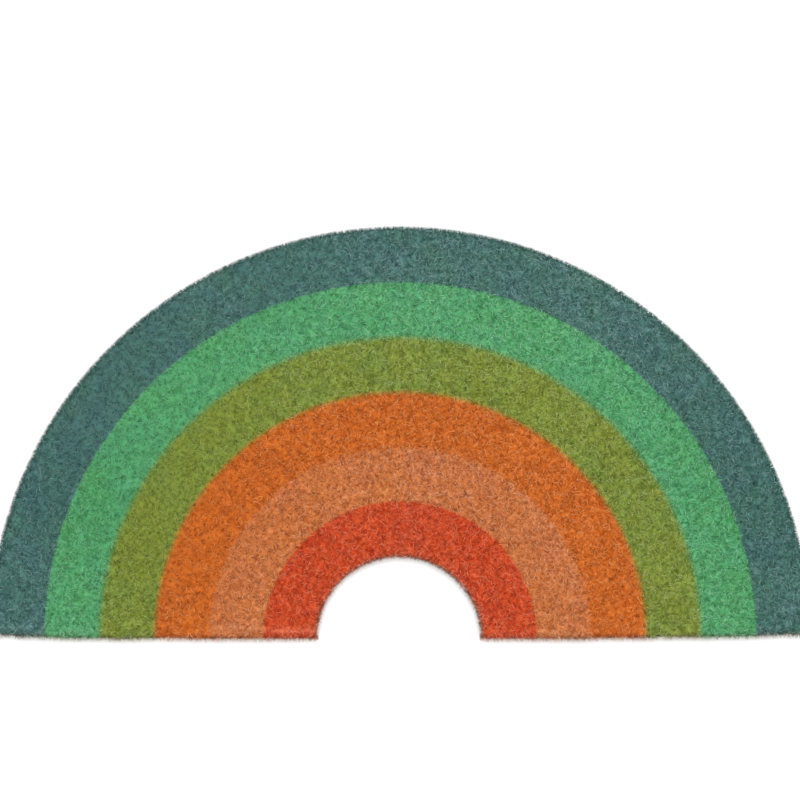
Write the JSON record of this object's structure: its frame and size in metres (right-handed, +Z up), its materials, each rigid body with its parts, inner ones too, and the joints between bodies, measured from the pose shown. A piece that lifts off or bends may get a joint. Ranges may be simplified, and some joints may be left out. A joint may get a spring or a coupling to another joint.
{
  "type": "half-round coir doormat",
  "caption": "Half-round coir doormat with a half-round cutout, printed in concentric bands, with a thin vinyl base that lies flat on the floor.",
  "frame": {"origin": "on the underside, in the middle of the mat's bounding box", "axes": "+X along the straight edge, +Y from the straight edge towards the round edge, +Z up, out of the pile"},
  "size_m": [0.76, 0.3822, 0.015],
  "materials": {
    "printed_coir": "stiff cut coir bristle, matt, its tips printed in six concentric bands: teal, green, olive, orange, tan and red from the outside in",
    "vinyl_base": "dark grey vinyl sheet, matt, its underside finely embossed, with stubs of coir at its cut edge"
  },
  "bodies": {
    "root": {"mat": "printed_coir"}
  },
  "joints": []
}
